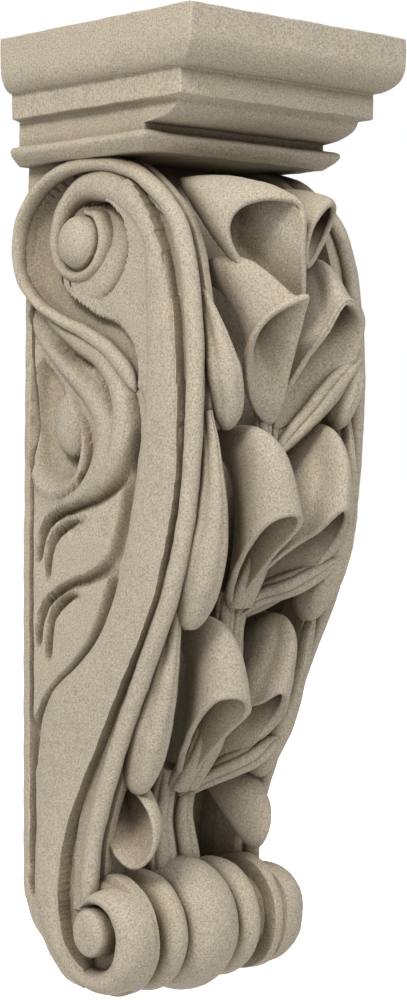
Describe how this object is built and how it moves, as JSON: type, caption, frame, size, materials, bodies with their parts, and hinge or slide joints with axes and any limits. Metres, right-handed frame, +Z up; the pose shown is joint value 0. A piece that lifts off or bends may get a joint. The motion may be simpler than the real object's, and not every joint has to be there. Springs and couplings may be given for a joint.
{
  "type": "stone corbel",
  "caption": "Carved sandstone wall corbel with a moulded cap, S-scroll cheeks, tiers of ruffled acanthus between them and a turned roll at the foot.",
  "frame": {"origin": "on the flat back face, on the centre line, 300 mm below the top bed", "axes": "+X across the wall, +Y into the wall, +Z up; the carved front faces -Y"},
  "size_m": [0.189, 0.1984, 0.616],
  "materials": {
    "sandstone": "matt, fine-grained, rubbed smooth with a speckled grain"
  },
  "bodies": {
    "root": {"corbel": "sandstone"}
  },
  "joints": []
}
